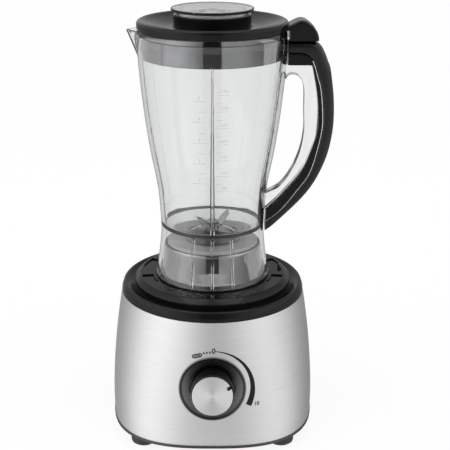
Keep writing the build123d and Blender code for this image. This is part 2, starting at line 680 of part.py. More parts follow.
def make_blade(level, hub, arms):
    """Sheet blade with a round hub; arms are (turn, lift, length)."""
    blade = tube(level, level + BLADE_SHEET, hub)
    for turn, lift, length in arms:
        root = block((0, hub + 2.4), (-4.2, 4.2), (level, level + BLADE_SHEET))
        blade += Rot(0, 0, turn) * root
        blade += blade_arm(hub + 2.4, level, lift, length, turn)
    return blade - tube(level - 5, level + 5, SHAFT_RADIUS)


def make_blade_nut():
    hexagon = extrude(Plane.XY.offset(BLADE_LEVEL + 4) * RegularPolygon(6.4, 6), amount=3.2)
    dome = turned([(0, BLADE_LEVEL + 7), (5.2, BLADE_LEVEL + 7), (4.4, BLADE_LEVEL + 8.6),
                   (2.4, BLADE_LEVEL + 9.6), (0, BLADE_LEVEL + 9.8)])
    return hexagon + dome - tube(190, 207, SHAFT_RADIUS)


def make_driven_coupling():
    body = tube(159.5, 171.5, 13.0) - star(150, 168, COUPLING_GAP)
    return body - tube(160, 180, SHAFT_RADIUS)


# ---- lid and cap -----------------------------------------------------------------------------
def make_lid_body():
    seal_groove = (384.0, 388.0)
    outline = [(LID_SKIRT_RADIUS, LID_SEAT), (70.0, LID_SEAT), (LID_RIM_RADIUS, 396.6),
               (LID_RIM_RADIUS, 401.8), (69.6, 403.4), (68.0, 404.2), (66.4, 404.0),
               (60.0, 401.4), (47.0, 397.8), (39.0, 396.5), (COLLAR_RADIUS, 397.2),
               (COLLAR_RADIUS, 408.9), (35.7, COLLAR_TOP), (NECK_RADIUS + 0.4, COLLAR_TOP),
               (NECK_RADIUS, 409.0), (NECK_RADIUS, 380.0), (34.8, 380.0), (34.8, 393.6),
               (47.0, 394.8), (58.0, 397.6), (62.8, 394.0), (62.8, LID_SKIRT_BOTTOM),
               (LID_SKIRT_RADIUS, LID_SKIRT_BOTTOM), (LID_SKIRT_RADIUS, seal_groove[0]),
               (64.6, seal_groove[0]), (64.6, seal_groove[1]), (LID_SKIRT_RADIUS, seal_groove[1])]
    return turned(outline) + lid_arm()


def lid_arm():
    """Tongue of the lid that lies over the top of the handle."""
    edges = [curve(LID_ARM),
             straight(LID_ARM[-1], (71.2, LID_ARM_BOTTOM), (71.2, LID_SEAT), (66.0, LID_SEAT),
                      LID_ARM[0])]
    arm = upright_sheet(edges, LID_ARM_WIDTH)
    arm = fillet([edge for edge in arm.edges() if edge.length > 30], 2.5)
    pocket = block((74.5, 95.5), (-10.0, 10.0), (380, 394.5))
    lines = [block((80.4, 81.4), (side * 13 - 0.5, side * 13 + 0.5), (388, 401)) for side in (-1, 1)]
    return cut_away(arm, [pocket] + lines)


def make_lid_seal():
    return tube(384.0, 388.0, 66.3, 64.6)


def make_filler_cap():
    outline = [(0, 411.6), (28.6, 411.6), (28.6, 383.0), (CAP_BODY_RADIUS, 383.0),
               (CAP_BODY_RADIUS, 409.8), (34.0, 409.8), (34.0, 411.0), (CAP_BODY_RADIUS, 411.6),
               (CAP_BODY_RADIUS, 412.6), (38.2, 412.6), (CAP_FLANGE_RADIUS, 413.2),
               (CAP_FLANGE_RADIUS, 414.6), (38.0, CAP_TOP), (35.4, CAP_TOP), (34.6, 414.4),
               (0, 414.4)]
    return turned(outline)


# ---- all nodes -------------------------------------------------------------------------------
PARTS = {
    "base_housing": make_base_housing,
    "steel_wrap": make_steel_wrap,
    "top_cover": make_top_cover,
    "bottom_plate": make_bottom_plate,
    "bottom_screws": make_bottom_screws,
    "cord_gland": make_cord_gland,
    "knob_bezel": make_knob_bezel,
    "speed_switch": make_speed_switch,
    "control_board": make_control_board,
    "micro_switch": make_micro_switch,
    "interlock_spring": make_interlock_spring,
    "interlock_pin": make_interlock_pin,
    "stator_core": make_stator_core,
    "field_coils": make_field_coils,
    "motor_upper_bracket": make_motor_upper_bracket,
    "motor_lower_bracket": make_motor_lower_bracket,
    "upper_bearing": lambda: make_bearing(114, 121, 11),
    "lower_bearing": lambda: make_bearing(39, 45.4, 9.5),
    "brush_holders": make_brush_holders,
    "carbon_brushes": make_carbon_brushes,
    "motor_bushes": make_motor_bushes,
    "motor_bolts": make_motor_bolts,
    "motor_shaft": make_motor_shaft,
    "armature_core": make_armature_core,
    "armature_windings": make_armature_windings,
    "commutator": make_commutator,
    "cooling_fan": make_cooling_fan,
    "drive_coupling": make_drive_coupling,
    "knob_body": make_knob_body,
    "knob_face": make_knob_face,
    "knob_shaft": make_knob_shaft,
    "jug_body": make_jug_body,
    "handle_cover": make_handle_cover,
    "handle_liner": make_handle_liner,
    "handle_screw": make_handle_screw,
    "blade_holder": make_blade_holder,
    "jug_seal": make_jug_seal,
    "upper_bush": lambda: make_bush(190.5, HOLDER_TOP),
    "shaft_seal": lambda: make_bush(185.0, 189.0),
    "lower_bush": lambda: make_bush(172.0, 181.0),
    "blade_shaft": make_blade_shaft,
    "lower_blade": lambda: make_blade(BLADE_LEVEL, 7.2, [(135, 30, 13), (315, -3, 13)]),
    "upper_blade": lambda: make_blade(BLADE_LEVEL + BLADE_SHEET, 7.2, [(45, 38, 19), (225, 12, 15)]),
    "blade_washer": lambda: tube(BLADE_LEVEL + 3, BLADE_LEVEL + 4, 6.5, SHAFT_RADIUS),
    "blade_nut": make_blade_nut,
    "driven_coupling": make_driven_coupling,
    "lid_body": make_lid_body,
    "lid_seal": make_lid_seal,
    "filler_cap": make_filler_cap,
}
for corner_name, spot in FOOT_SPOTS.items():
    PARTS["foot_" + corner_name] = lambda spot=spot: make_foot(spot)

for node, make in PARTS.items():
    export_step(make(), f"parts/{node}.step")
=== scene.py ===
"""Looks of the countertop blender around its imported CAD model, in the CAD's own frame.

Lengths are in metres unless a comment says mm.
"""
import json
from math import cos, pi, radians, sin, sqrt

import bmesh
import bpy
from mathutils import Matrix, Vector
from mathutils.bvhtree import BVHTree


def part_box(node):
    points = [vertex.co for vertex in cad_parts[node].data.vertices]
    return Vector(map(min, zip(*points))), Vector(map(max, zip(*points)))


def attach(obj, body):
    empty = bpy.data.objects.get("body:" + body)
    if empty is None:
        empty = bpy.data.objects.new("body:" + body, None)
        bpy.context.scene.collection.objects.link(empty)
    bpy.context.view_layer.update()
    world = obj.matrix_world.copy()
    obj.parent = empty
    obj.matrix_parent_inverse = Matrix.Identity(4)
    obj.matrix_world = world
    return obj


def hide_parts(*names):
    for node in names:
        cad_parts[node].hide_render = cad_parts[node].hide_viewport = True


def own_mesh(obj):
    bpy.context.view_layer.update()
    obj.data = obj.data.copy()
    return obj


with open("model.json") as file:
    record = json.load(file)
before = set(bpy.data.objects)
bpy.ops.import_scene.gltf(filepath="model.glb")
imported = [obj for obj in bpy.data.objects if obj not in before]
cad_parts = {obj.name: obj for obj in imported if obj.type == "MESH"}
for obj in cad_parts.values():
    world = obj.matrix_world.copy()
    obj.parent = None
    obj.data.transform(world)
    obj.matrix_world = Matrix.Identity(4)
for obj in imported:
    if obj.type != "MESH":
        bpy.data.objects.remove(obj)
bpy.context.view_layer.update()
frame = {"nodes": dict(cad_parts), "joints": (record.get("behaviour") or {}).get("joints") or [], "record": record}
NODES = frame["nodes"]
MM = 0.001

# ---- places taken from the frame -----------------------------------------------------------
KNOB_JOINT = next(j for j in frame["joints"] if j["name"] == "knob_turn")
KNOB_CENTRE = Vector(KNOB_JOINT["pos_m"])
KNOB_OUT = Vector(KNOB_JOINT["axis"]).normalized()
KNOB_RIGHT = Vector((1, 0, 0))
KNOB_UP = KNOB_OUT.cross(KNOB_RIGHT)
JUG_LOW, JUG_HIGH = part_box("jug_body")


# ---- node helpers --------------------------------------------------------------------------
def new_material(name):
    """New material, its node tree and its shader."""
    material = bpy.data.materials.new(name)
    material.use_nodes = True
    tree = material.node_tree
    return material, tree, tree.nodes["Principled BSDF"]


def noise(tree, scale, detail=2.0):
    """Noise over the piece's own coordinates; scale is in features per metre, one or three."""
    if not isinstance(scale, tuple):
        scale = (scale, scale, scale)
    place = tree.nodes.new("ShaderNodeTexCoord")
    mapping = tree.nodes.new("ShaderNodeMapping")
    mapping.inputs["Scale"].default_value = scale
    grain = tree.nodes.new("ShaderNodeTexNoise")
    grain.inputs["Scale"].default_value = 1.0
    grain.inputs["Detail"].default_value = detail
    tree.links.new(place.outputs["Object"], mapping.inputs["Vector"])
    tree.links.new(mapping.outputs["Vector"], grain.inputs["Vector"])
    return grain.outputs["Fac"]


def spread(tree, value, low, high):
    """Maps a noise value of about 0.3 to 0.7 onto low to high."""
    node = tree.nodes.new("ShaderNodeMapRange")
    node.inputs["From Min"].default_value = 0.3
    node.inputs["From Max"].default_value = 0.7
    node.inputs["To Min"].default_value = low
    node.inputs["To Max"].default_value = high
    tree.links.new(value, node.inputs["Value"])
    return node.outputs["Result"]


def tinted(tree, value, dark, light):
    """Colour between two tones, by a noise value."""
    ramp = tree.nodes.new("ShaderNodeValToRGB")
    ramp.color_ramp.elements[0].position = 0.3
    ramp.color_ramp.elements[1].position = 0.7
    ramp.color_ramp.elements[0].color = (*dark, 1)
    ramp.color_ramp.elements[1].color = (*light, 1)
    tree.links.new(value, ramp.inputs["Fac"])
    return ramp.outputs["Color"]


def bumped(tree, shader, height, depth):
    """Adds a fine relief, depth in metres, to a shader's normal."""
    bump = tree.nodes.new("ShaderNodeBump")
    bump.inputs["Strength"].default_value = 1.0
    bump.inputs["Distance"].default_value = depth
    tree.links.new(height, bump.inputs["Height"])
    tree.links.new(bump.outputs["Normal"], shader.inputs["Normal"])


def surface(name, tone, roughness, metallic=0.0, coat=0.0, grain=900, relief=0.0, vary=0.15,
            rough_vary=0.2, specular=0.5):
    """Plain moulded, cast or rubber surface with a slightly uneven colour, gloss and relief."""
    material, tree, shader = new_material(name)
    broad = noise(tree, 60, 3)
    fine = noise(tree, grain, 3)
    dark = tuple(channel * (1 - vary) for channel in tone)
    light = tuple(channel * (1 + vary) for channel in tone)
    tree.links.new(tinted(tree, broad, dark, light), shader.inputs["Base Color"])
    low, high = roughness * (1 - rough_vary), roughness * (1 + rough_vary)
    tree.links.new(spread(tree, fine, low, high), shader.inputs["Roughness"])
    shader.inputs["Metallic"].default_value = metallic
    shader.inputs["Coat Weight"].default_value = coat
    shader.inputs["Coat Roughness"].default_value = 0.03
    shader.inputs["Specular IOR Level"].default_value = specular
    if relief:
        bumped(tree, shader, fine, relief)
    return material


def tangent(tree, shader, axis):
    """Runs a shader's brush lines round an axis."""
    node = tree.nodes.new("ShaderNodeTangent")
    node.direction_type = "RADIAL"
    node.axis = axis
    tree.links.new(node.outputs["Tangent"], shader.inputs["Tangent"])


# ---- materials -----------------------------------------------------------------------------
def brushed_steel():
    """Sheet with fine level brush lines, which spread its highlights up and down."""
    material, tree, shader = new_material("brushed_steel")
    lines = noise(tree, (22, 22, 2600), 3)
    streaks = noise(tree, (9, 9, 900), 2)
    colour = tinted(tree, lines, (0.515, 0.515, 0.52), (0.585, 0.585, 0.59))
    tree.links.new(colour, shader.inputs["Base Color"])
    tree.links.new(spread(tree, streaks, 0.42, 0.47), shader.inputs["Roughness"])
    shader.inputs["Metallic"].default_value = 1.0
    shader.inputs["Anisotropic"].default_value = 0.25
    shader.inputs["Anisotropic Rotation"].default_value = 0.25
    tangent(tree, shader, "Z")
    bumped(tree, shader, lines, 0.000003)
    return material


def spun_aluminium():
    """Disc turned on a lathe: fine rings that give a bow-tie sheen."""
    material, tree, shader = new_material("spun_aluminium")
    place = tree.nodes.new("ShaderNodeTexCoord")
    offset = tree.nodes.new("ShaderNodeVectorMath")
    offset.operation = "SUBTRACT"
    offset.inputs[1].default_value = KNOB_CENTRE
    length = tree.nodes.new("ShaderNodeVectorMath")
    length.operation = "LENGTH"
    rings = tree.nodes.new("ShaderNodeTexNoise")
    rings.noise_dimensions = "1D"
    rings.inputs["Scale"].default_value = 4200
    rings.inputs["Detail"].default_value = 2
    tree.links.new(place.outputs["Object"], offset.inputs[0])
    tree.links.new(offset.outputs["Vector"], length.inputs[0])
    tree.links.new(length.outputs["Value"], rings.inputs["W"])
    colour = tinted(tree, rings.outputs["Fac"], (0.58, 0.58, 0.585), (0.66, 0.66, 0.665))
    tree.links.new(colour, shader.inputs["Base Color"])
    tree.links.new(spread(tree, rings.outputs["Fac"], 0.30, 0.35), shader.inputs["Roughness"])
    shader.inputs["Metallic"].default_value = 1.0
    shader.inputs["Anisotropic"].default_value = 0.85
    shader.inputs["Anisotropic Rotation"].default_value = 0.25
    tangent(tree, shader, "Y")
    return material


def clear_plastic(name, depth_tint=60.0):
    """Clear moulded plastic that darkens where one looks along its wall."""
    material, tree, shader = new_material(name)
    shader.inputs["Base Color"].default_value = (0.958, 0.962, 0.962, 1)
    shader.inputs["Transmission Weight"].default_value = 1.0
    shader.inputs["IOR"].default_value = 1.49
    tree.links.new(spread(tree, noise(tree, 35, 2), 0.0, 0.03), shader.inputs["Roughness"])
    bumped(tree, shader, noise(tree, 45, 2), 0.00006)
    inside = tree.nodes.new("ShaderNodeVolumeAbsorption")
    inside.inputs["Color"].default_value = (0.45, 0.46, 0.47, 1)
    inside.inputs["Density"].default_value = depth_tint
    output = tree.nodes["Material Output"]
    tree.links.new(inside.outputs["Volume"], output.inputs["Volume"])
    return material


def spun_black():
    """Dark satin cone that shows grey to both sides of the knob."""
    material, tree, shader = new_material("bezel_black")
    specks = noise(tree, 900, 2)
    tree.links.new(tinted(tree, specks, (0.150, 0.150, 0.152), (0.175, 0.175, 0.178)),
                   shader.inputs["Base Color"])
    tree.links.new(spread(tree, specks, 0.27, 0.31), shader.inputs["Roughness"])
    shader.inputs["Metallic"].default_value = 1.0
    shader.inputs["Anisotropic"].default_value = 0.9
    shader.inputs["Anisotropic Rotation"].default_value = 0.25
    tangent(tree, shader, "Y")
    return material


def frosted_plastic():
    """Clear plastic with a light bloom, which looks pale over the black lid."""
    material = clear_plastic("frosted_cap", 12)
    shader = material.node_tree.nodes["Principled BSDF"]
    shader.inputs["Base Color"].default_value = (0.92, 0.92, 0.92, 1)
    shader.inputs["Transmission Weight"].default_value = 0.74
    return material


def moulded_scale():
    """Faint grey of the small raised marks on the clear wall."""
    material = surface("moulded_scale", (0.30, 0.30, 0.31), 0.35, grain=1200)
    material.node_tree.nodes["Principled BSDF"].inputs["Alpha"].default_value = 0.11
    return material


MATERIALS = {
    "black_case": surface("black_case", (0.014, 0.014, 0.015), 0.34, grain=1600, relief=0.00002),
    "brushed_front": brushed_steel(),
    "gloss_black": surface("gloss_black", (0.004, 0.004, 0.0043), 0.08, grain=220,
                           relief=0.000002, specular=0.17),
    "satin_black": surface("satin_black", (0.005, 0.005, 0.0053), 0.24, grain=700,
                           relief=0.00001, specular=0.3),
    "black_rubber": surface("black_rubber", (0.012, 0.012, 0.012), 0.62, grain=2400,
                            relief=0.00005),
    "grey_rubber": surface("grey_rubber", (0.80, 0.80, 0.80), 0.4, grain=1800, relief=0.00003),
    "screw_steel": surface("screw_steel", (0.50, 0.50, 0.51), 0.30, metallic=1, grain=1500,
                           relief=0.00002),
    "blade_steel": surface("blade_steel", (0.34, 0.34, 0.35), 0.2, metallic=1, grain=1200,
                           relief=0.00001),
    "spun_aluminium": spun_aluminium(),
    "inner_plastic": surface("inner_plastic", (0.035, 0.035, 0.036), 0.45, relief=0.00003),
    "coupling_plastic": surface("coupling_plastic", (0.02, 0.02, 0.021), 0.38, relief=0.00003),
    "board": surface("board", (0.03, 0.12, 0.05), 0.35, relief=0.00003),
    "laminations": surface("laminations", (0.16, 0.16, 0.17), 0.42, metallic=1, relief=0.00004),
    "copper_wire": surface("copper_wire", (0.55, 0.22, 0.08), 0.35, metallic=1, relief=0.00008),
    "copper_bars": surface("copper_bars", (0.75, 0.40, 0.20), 0.25, metallic=1, relief=0.00002),
    "brass_holder": surface("brass_holder", (0.70, 0.52, 0.22), 0.3, metallic=1, relief=0.00002),
    "bronze_bush": surface("bronze_bush", (0.50, 0.34, 0.16), 0.42, metallic=1, relief=0.00004),
    "carbon": surface("carbon", (0.03, 0.03, 0.03), 0.5, relief=0.00003),
    "cast_bracket": surface("cast_bracket", (0.42, 0.42, 0.43), 0.5, metallic=1, relief=0.0001),
    "clear_plastic": clear_plastic("clear_plastic"),
}
PRINT = surface("dial_print", (0.010, 0.010, 0.0105), 0.5, grain=1500, specular=0.15)
BEZEL = spun_black()
SHEEN = surface("sheen_black", (0.30, 0.30, 0.305), 0.05, metallic=1.0, grain=300, rough_vary=0.05)
WEB_PLASTIC = clear_plastic("clear_web", 16)
FROSTED = frosted_plastic()
SCALE_MARK = moulded_scale()


def dress_cad_nodes():
    """Gives each carried-over CAD node the material of its slot in the record."""
    for part in frame["record"]["subparts"]:
        mesh = NODES[part["node"]].data
        mesh.materials.clear()
        mesh.materials.append(MATERIALS[part["material_slot"]])


def soften_edges(nodes, width):
    """Small rounded edges on CAD nodes, by modifiers only."""
    for node in nodes:
        piece = NODES[node]
        weld = piece.modifiers.new("weld", "WELD")
        weld.merge_threshold = 0.000002
        bevel = piece.modifiers.new("edges", "BEVEL")
        bevel.width = width
        bevel.segments = 2
        bevel.limit_method = "ANGLE"
        bevel.angle_limit = radians(38)
        bevel.use_clamp_overlap = True
        weigh = piece.modifiers.new("shading", "WEIGHTED_NORMAL")
        weigh.keep_sharp = True


# ---- mesh helpers --------------------------------------------------------------------------
def mesh_piece(name, points, faces, material, body, slot, sharp=35):
    """New piece from points in metres, smooth but for edges sharper than a number of degrees."""
    mesh = bpy.data.meshes.new(name)
    mesh.from_pydata(points, [], faces)
    mesh.validate()
    form = bmesh.new()
    form.from_mesh(mesh)
    bmesh.ops.remove_doubles(form, verts=form.verts, dist=1e-6)
    bmesh.ops.recalc_face_normals(form, faces=form.faces)
    for face in form.faces:
        face.smooth = True
    for edge in form.edges:
        edge.smooth = len(edge.link_faces) == 2 and edge.calc_face_angle(0) < radians(sharp)
    form.to_mesh(mesh)
    form.free()
    mesh.materials.append(material)
    piece = bpy.data.objects.new(name, mesh)
    bpy.context.scene.collection.objects.link(piece)
    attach(piece, body)
    return piece


def grid_faces(rows, columns, close_rows=True):
    """Four-cornered faces over a grid of points, row by row; each row closes on itself."""
    faces = []
    for row in range(rows if close_rows else rows - 1):
        for column in range(columns):
            below, beside = (row + 1) % rows, (column + 1) % columns
            faces.append((row * columns + column, row * columns + beside,
                          below * columns + beside, below * columns + column))
    return faces


def lathe(name, section, steps, material, body, slot):
    """New piece turned about the motor's axis from a closed (radius, height) section in mm."""
    around = [2 * pi * step / steps for step in range(steps)]
    points = [(reach * MM * cos(turn), reach * MM * sin(turn), z * MM)
              for reach, z in section for turn in around]
    return mesh_piece(name, points, grid_faces(len(section), steps), material, body, slot)


def rounded(points, radius, steps=4):
    """Closed outline with its corners rounded off, for (across, up) points."""
    result = []
    for index, corner in enumerate(points):
        corner = Vector(corner)
        before = Vector(points[index - 1]) - corner
        after = Vector(points[(index + 1) % len(points)]) - corner
        if before.length < 1e-7 or after.length < 1e-7:
            continue
        cut = min(radius, 0.45 * before.length, 0.45 * after.length)
        start = corner + before.normalized() * cut
        end = corner + after.normalized() * cut
        for step in range(steps + 1):
            share = step / steps
            result.append(start * (1 - share) ** 2 + corner * 2 * share * (1 - share)
                          + end * share ** 2)
    return result


def smooth_path(points, per_span=6):
    """Points along a smooth curve through the given ones (Catmull-Rom)."""
    points = [Vector(point) for point in points]
    ends = [2 * points[0] - points[1]] + points + [2 * points[-1] - points[-2]]
    result = []
    for index in range(1, len(ends) - 2):
        p0, p1, p2, p3 = ends[index - 1:index + 3]
        for step in range(per_span):
            t = step / per_span
            result.append(0.5 * (2 * p1 + (p2 - p0) * t + (2 * p0 - 5 * p1 + 4 * p2 - p3) * t ** 2
                                 + (3 * p1 - p0 - 3 * p2 + p3) * t ** 3))
    return result + [points[-1]]


def surface_tree(node):
    """Search tree over a CAD node's faces, to lay things on it."""
    form = bmesh.new()
    form.from_mesh(NODES[node].data)
    tree = BVHTree.FromBMesh(form)
    form.free()
    return tree


# ---- dial and bezel ------------------------------------------------------------------------
STEEL_FRONT = surface_tree("steel_wrap")
STEEL_PROBE = 0.05    # metres in front of the knob's centre, where the search for the steel starts
BEZEL_REACH = 31.2 * MM
# Bezel's section in mm: radius, height above the steel, and how much the steel's depth counts.
BEZEL_SECTION = [(32.0, 0.05, 1), (32.0, 0.55, 1), (31.6, 0.95, 1), (31.0, 1.0, 1), (30.4, 0.7, 1),
                 (30.0, 0.2, 1), (28.0, -0.7, 0.75), (25.0, -2.2, 0.4), (22.8, -3.3, 0.15),
                 (22.0, -3.9, 0), (21.6, -4.8, 0), (21.5, -9.4, 0), (5.0, -9.6, 0),
                 (5.0, -11.6, 0), (30.8, -11.6, 0), (31.2, -8.0, 0.5)]
# Speed scale, as turns from the top in degrees and radii in mm.
WEDGE_START, WEDGE_SWEEP = 2, 115
WEDGE_INNER, WEDGE_INNER_GROWTH = 37.3, -1.9
WEDGE_OUTER, WEDGE_OUTER_GROWTH = 37.75, 3.45


def on_dial(right, up, above):
    """Point on the steel at a place in the knob's plane, lifted off it along the knob's axis."""
    start = KNOB_CENTRE + KNOB_RIGHT * right + KNOB_UP * up + KNOB_OUT * STEEL_PROBE
    place, _, _, _ = STEEL_FRONT.ray_cast(start, -KNOB_OUT)
    return place + KNOB_OUT * above


def steel_depth(turn):
    """How far the steel beside the bezel lies along the knob's axis from its centre."""
    reach = BEZEL_REACH + 0.6 * MM
    place = on_dial(reach * sin(turn), reach * cos(turn), 0)
    return (place - KNOB_CENTRE).dot(KNOB_OUT)


def make_bezel():
    """Dished ring round the knob; its rim follows the curved steel."""
    turns = 144
    points = []
    for step in range(turns):
        turn = 2 * pi * step / turns
        depth = steel_depth(turn)
        across = KNOB_RIGHT * sin(turn) + KNOB_UP * cos(turn)
        for reach, height, share in BEZEL_SECTION:
            lift = height * MM + depth * share
            points.append(KNOB_CENTRE + across * reach * MM + KNOB_OUT * lift)
    faces = grid_faces(turns, len(BEZEL_SECTION))
    piece = mesh_piece("knob_surround", points, faces, BEZEL, "base", "gloss_black", sharp=50)
    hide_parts("knob_bezel")


def band(inner, outer, place, lift=(0.02 * MM, 0.08 * MM), first_index=0):
    """Points and faces of a thin solid band laid on a surface by place(right, up, above)."""
    points = []
    for first, second in zip(inner, outer):
        points += [place(first[0] * MM, first[1] * MM, lift[0]),
                   place(second[0] * MM, second[1] * MM, lift[0]),
                   place(second[0] * MM, second[1] * MM, lift[1]),
                   place(first[0] * MM, first[1] * MM, lift[1])]
    faces = grid_faces(len(inner), 4, close_rows=False)
    last = 4 * (len(inner) - 1)
    if (Vector(inner[0]) - Vector(inner[-1])).length > 0.01:
        faces += [(3, 2, 1, 0), (last, last + 1, last + 2, last + 3)]
    return points, [tuple(first_index + corner for corner in face) for face in faces]


def dial_band(name, inner, outer):
    """Thin printed band on the steel between two chains of (right, up) points in mm."""
    mesh_piece(name, *band(inner, outer, on_dial), PRINT, "base", "inner_plastic")


def polar(reach, turn):
    """(right, up) point at a radius and a clockwise turn from the top, in degrees."""
    return (reach * sin(radians(turn)), reach * cos(radians(turn)))


def ring(centre, across, up, lean=0.0, steps=28):
    """Closed chain of points round an ellipse."""
    chain = []
    for step in range(steps + 1):
        turn = 2 * pi * step / steps
        x, y = across * sin(turn), up * cos(turn)
        chain.append((centre[0] + x * cos(lean) - y * sin(lean),
                      centre[1] + x * sin(lean) + y * cos(lean)))
    return chain


def pill(centre, length, width, lean, steps=8):
    """Closed chain round a bar with round ends."""
    half, r = length / 2 - width / 2, width / 2
    chain = []
    for side, start in ((1, -90), (-1, 90)):
        for step in range(steps + 1):
            turn = radians(start + 180 * step / steps)
            x, y = side * half + r * cos(turn), r * sin(turn)
            chain.append((x, y))
    chain.append(chain[0])
    return [(centre[0] + x * cos(lean) - y * sin(lean), centre[1] + x * sin(lean) + y * cos(lean))
            for x, y in chain]


def make_dial():
    """Speed scale round the knob: growing band, off mark, three dots and pulse mark; its number comes from
    make_dial_number.
    """
    steps = 60
    shares = [step / steps for step in range(steps + 1)]
    inner = [polar(WEDGE_INNER + WEDGE_INNER_GROWTH * share, WEDGE_START + WEDGE_SWEEP * share)
             for share in shares]
    outer = [polar(WEDGE_OUTER + WEDGE_OUTER_GROWTH * share, WEDGE_START + WEDGE_SWEEP * share)
             for share in shares]
    dial_band("dial_wedge", inner, outer)
    zero = (1.2, 37.9)
    lean = -0.15
    dial_band("dial_off_mark", ring(zero, 0.8, 1.6, lean), ring(zero, 1.75, 2.7, lean))
    for index, spot in enumerate([(-2.4, 36.6), (-5.2, 36.2), (-8.0, 35.8)]):
        dial_band(f"dial_dot_{index}", ring(spot, 0.08, 0.08, steps=16),
                  ring(spot, 0.85, 1.1, steps=16))
    centre = (-14.4, 33.1)
    lean = radians(15)
    dial_band("dial_pulse_mark", pill(centre, 7.6, 1.8, lean), pill(centre, 9.9, 4.1, lean))
    dial_band("dial_pulse_slit", pill(centre, 5.0, 0.1, lean), pill(centre, 6.2, 1.1, lean))


DIGIT_SHARE = 0.7    # height of a digit over the font's size


def digits(name, words, height, place_point, material, body, slot):
    """Number as thin solid strokes, laid on a surface by place_point(across, up, above)."""
    text = bpy.data.curves.new(name, "FONT")
    text.body = words
    text.size = height / DIGIT_SHARE
    text.align_x = "CENTER"
    text.align_y = "CENTER"
    text.extrude = 0.03 * MM
    text.offset = 0.16 * MM
    text.resolution_u = 3
    holder = bpy.data.objects.new(name + "_text", text)
    bpy.context.scene.collection.objects.link(holder)
    mesh = bpy.data.meshes.new_from_object(holder)
    bpy.data.objects.remove(holder)
    points = [place_point(v.co.x, v.co.y, v.co.z + 0.04 * MM) for v in mesh.vertices]
    faces = [tuple(face.vertices) for face in mesh.polygons]
    mesh_piece(name, points, faces, material, body, slot)


def make_dial_number():
    """Number at the fast end of the speed scale."""
    centre = (42.0 * MM, -16.6 * MM)
    digits("dial_number", "10", 3.6 * MM,
           lambda x, y, above: on_dial(centre[0] + x, centre[1] + y, above),
           PRINT, "base", "inner_plastic")


# Pointer on the knob: its turn from the top, the radius of its middle and how far it stands in
# front of the knob's centre. Its length, its width and the heights of its rings are in mm, and the
# rings are (share of its size, height).
POINTER_TURN = radians(63)
POINTER_REACH = 17.3 * MM
POINTER_PROUD = 20 * MM
POINTER_LENGTH, POINTER_WIDTH = 3.9, 2.5
POINTER_RINGS = [(0.05, 0), (1.0, 0), (1.06, 0.03), (1.0, 0.08), (0.6, 0.12), (0.05, 0.13)]


def end_faces(count, total):
    """Faces that close a tube of points whose rings have count points each."""
    return [tuple(range(count)), tuple(reversed(range(total - count, total)))]


def make_pointer():
    """Dark pointer mark at the edge of the knob, a low pill whose length lies along a radius."""
    along = KNOB_RIGHT * sin(POINTER_TURN) + KNOB_UP * cos(POINTER_TURN)
    beside = KNOB_RIGHT * cos(POINTER_TURN) - KNOB_UP * sin(POINTER_TURN)
    chain = pill((0, 0), POINTER_LENGTH, POINTER_WIDTH, 0)[:-1]
    points = []
    for grow, height in POINTER_RINGS:
        for x, y in chain:
            points.append(KNOB_CENTRE + KNOB_OUT * (POINTER_PROUD + height * MM)
                          + along * (POINTER_REACH + x * grow * MM) + beside * y * grow * MM)
    faces = grid_faces(len(POINTER_RINGS), len(chain), close_rows=False)
    faces += end_faces(len(chain), len(points))
    mesh_piece("pointer_mark", points, faces, PRINT, "knob", "inner_plastic")


# ---- jug -----------------------------------------------------------------------------------
JUG_SHAPE = surface_tree("jug_body")
RIM = JUG_HIGH.z / MM
FOOT = JUG_LOW.z / MM
# Heights, thicknesses and radii in mm; turns about the axis in degrees.
FLOOR_TOP = 210.0
SKIRT_TOP = 203.2
WALL = 3.0
INNER_RIB_TURNS = (-90, 0, 90, 180)
INNER_RIB_TOP, INNER_RIB_DEPTH = 370.4, 2.8
SKIRT_RIB_TURNS = [side + step for side in (-90, 90) for step in (-22, 0, 22)]
SKIRT_RIB_HALF_WIDTH, SKIRT_RIB_DEPTH = 1.4, 1.7
SPOUT_START, SPOUT_TIP, SPOUT_TURN = 364, 81.6, 180
SPOUT_ROOT, SPOUT_HALF_WIDTH = 58, 27.0
# Floor from the wall inwards, round the bush's hole and back out below it, as (radius, height).
FLOOR_SECTION = [(46.3, 208.9), (45.2, 208.2), (40, 205.9), (30, 201.2), (22.2, 197.4),
                 (21.3, 196.6), (21.3, 190.8), (21.6, 190.5), (26.7, 190.5), (27, 190.8),
                 (27, 193.8), (27.5, 194.4), (40, 201.9), (46.2, 205.4), (47.1, 205.2)]


def wall_radius(z):
    """Outer radius of the jug at a height, in mm, read from the CAD jug's front."""
    z = min(max(z, FOOT + 0.05), RIM - 0.05)
    # A little beside the middle, so that the ray doesn't run along a seam of the mesh.
    place, _, _, _ = JUG_SHAPE.ray_cast(Vector((0.0004, -0.2, z * MM)), Vector((0, 1, 0)))
    return -place.y / MM


def turn_between(turn, centre):
    """Turn from a centre, between -180 and 180 degrees."""
    return (turn - centre + 180) % 360 - 180


def rib(turn, radius, centres, half_width, depth):
    """How far a rib stands inwards at a turn about the jug's axis."""
    for centre in centres:
        share = abs(radians(turn_between(turn, centre))) * radius / half_width
        if share < 1:
            return depth * (1 - share ** 3)
    return 0.0


def spout(turn, z, radius):
    """Outer radius with the beak: straight sides that meet in a rounded tip."""
    share = (z - SPOUT_START) / (RIM - SPOUT_START)
    if share <= 0:
        return radius
    away = radians(turn_between(turn, SPOUT_TURN))
    if abs(away) > 1.2:
        return radius
    reach = radius + (SPOUT_TIP - radius) * share ** 1.15
    half = SPOUT_HALF_WIDTH * share ** 0.7
    side = sqrt(sin(away) ** 2 + 0.0004)
    beak = reach / (cos(away) + (reach - SPOUT_ROOT) / half * side)
    # The larger of the two radii, with a soft passage from one to the other.
    return 0.5 * (radius + beak + sqrt((radius - beak) ** 2 + 0.36))


